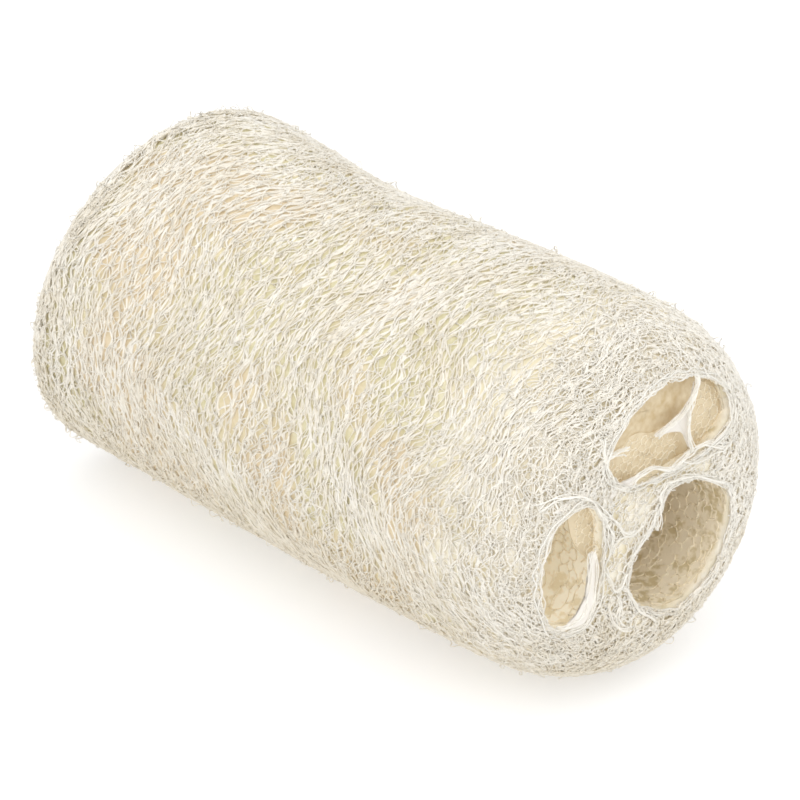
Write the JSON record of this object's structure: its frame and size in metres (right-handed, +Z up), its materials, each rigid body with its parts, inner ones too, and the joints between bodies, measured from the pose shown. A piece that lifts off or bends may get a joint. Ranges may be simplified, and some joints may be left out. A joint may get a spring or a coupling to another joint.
{
  "type": "natural loofah sponge",
  "caption": "Cut length of dried gourd fibre for washing: a springy cylinder of tangled strands with seed channels running through it, lying on its side.",
  "frame": {"origin": "centre of the bounding box on the surface the sponge lies on", "axes": "+X along the sponge towards the cut end with the rounded rim, +Z up"},
  "size_m": [0.1368, 0.0728, 0.0719],
  "materials": {
    "dried_fibre": "matt bleached plant fibre with a faint sheen on each strand"
  },
  "bodies": {
    "root": {"loofah_sponge": "dried_fibre"}
  },
  "joints": []
}
